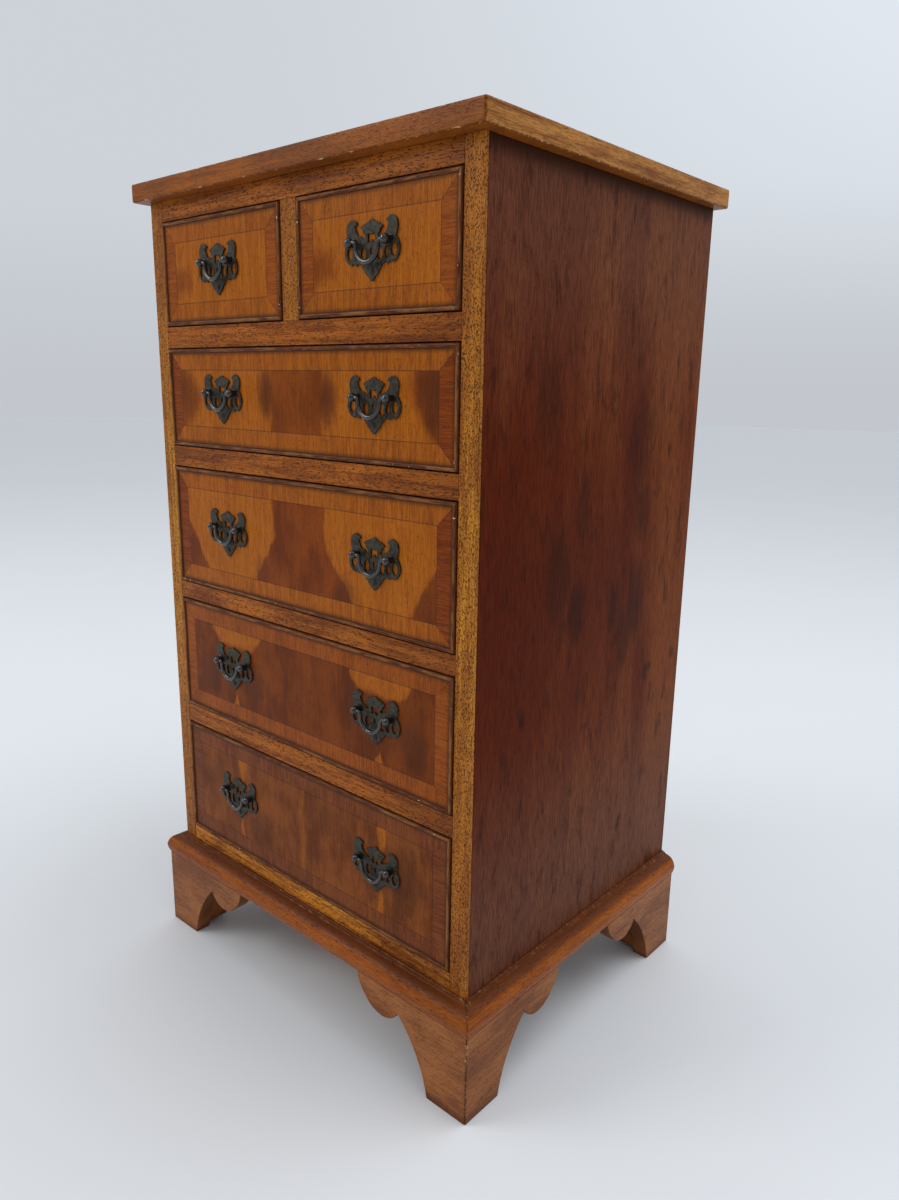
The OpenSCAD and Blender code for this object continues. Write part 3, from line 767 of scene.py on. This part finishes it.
def floor():
    bpy.ops.mesh.primitive_circle_add(vertices=96, radius=12.0, fill_type="NGON")
    disc = bpy.context.object
    disc.name = "floor"
    s = Surface("floor_paint")
    soft = s.noise(260.0, detail=3)
    colour = s.tint((0.74, 0.765, 0.79)).toward((0.72, 0.745, 0.77), soft)
    material = s.finish(colour, 0.6 + (soft - 0.5) * 0.05, soft, depth=0.1, specular=0.3)
    disc.data.materials.append(material)


def area_light(name, place, target, size, power, colour=(1.0, 1.0, 1.0)):
    data = bpy.data.lights.new(name, "AREA")
    data.shape = "RECTANGLE"
    data.size = size[0]
    data.size_y = size[1]
    data.energy = power
    data.color = colour
    light = bpy.data.objects.new(name, data)
    light.location = place
    light.rotation_euler = (Vector(target) - Vector(place)).to_track_quat("-Z", "Y").to_euler()
    bpy.context.scene.collection.objects.link(light)


def world():
    """A pale room: bright above, dimmer towards the back right, where the side panel looks."""
    room = bpy.data.worlds.new("pale_room")
    room.use_nodes = True
    tree = room.node_tree
    background = tree.nodes["Background"]
    coordinates = tree.nodes.new("ShaderNodeTexCoord")
    node = tree.nodes.new("ShaderNodeSeparateXYZ")
    tree.links.new(coordinates.outputs["Generated"], node.inputs[0])
    x, y, z = (Field(tree, output) for output in node.outputs)
    # the wall behind the chest, with its brighter right hand, and the dimmer rest of the room
    behind = (y * 0.774 - x * 0.633).rise(0.1, 0.75)
    brighter = (x * 0.774 + y * 0.633).rise(-0.3, 0.6)
    wall = Tint(tree, (0.61, 0.65, 0.69)).toward((0.84, 0.89, 0.97), brighter * z.rise(-0.1, 0.5))
    wall = Tint(tree, (0.545, 0.57, 0.61)).toward(wall, z.rise(-0.02, 0.22))
    colour = Tint(tree, (0.44, 0.455, 0.48)).toward(wall, behind)
    colour = colour.toward((0.95, 0.97, 1.0), z.rise(0.55, 0.9))
    put(tree, colour, background.inputs["Color"])
    background.inputs["Strength"].default_value = 1.0
    bpy.context.scene.world = room


def lights():
    area_light("window", (-1.6, -1.9, 1.9), (0.0, 0.0, 0.35), (1.4, 1.2), 24.0, (1.0, 0.99, 0.97))
    area_light("ceiling", (1.0, 0.6, 2.4), (0.0, 0.0, 0.3), (1.8, 1.8), 22.0, (0.97, 0.985, 1.0))


CAMERA_PLACE = (0.4851, -0.5169, 0.4776)
CAMERA_LENS = 26.51         # mm, on a film 36 mm wide
CAMERA_AZIMUTH = 41.35      # degrees round from the front
CAMERA_DOWN = 13.66
CAMERA_ROLL = 0.956


def camera():
    azimuth = math.radians(CAMERA_AZIMUTH)
    down = math.radians(CAMERA_DOWN)
    roll = math.radians(CAMERA_ROLL)
    forward = Vector((-math.sin(azimuth) * math.cos(down), math.cos(azimuth) * math.cos(down),
                      -math.sin(down)))
    level = Vector((math.cos(azimuth), math.sin(azimuth), 0.0))
    upright = level.cross(forward)
    right = level * math.cos(roll) + upright * math.sin(roll)
    up = upright * math.cos(roll) - level * math.sin(roll)
    data = bpy.data.cameras.new("camera")
    data.lens = CAMERA_LENS
    data.sensor_width = 36.0
    data.clip_start = 0.01
    view = bpy.data.objects.new("camera", data)
    turned = Matrix((right, up, -forward)).transposed().to_4x4()
    view.matrix_world = Matrix.Translation(CAMERA_PLACE) @ turned
    bpy.context.scene.collection.objects.link(view)
    bpy.context.scene.camera = view


carcass()
drawer_fronts()
for drawer in DRAWERS:
    cock_beads(drawer)
drawer_insides()
handles()
rounding()
floor()
world()
lights()
camera()
bpy.context.scene.view_settings.view_transform = "Standard"
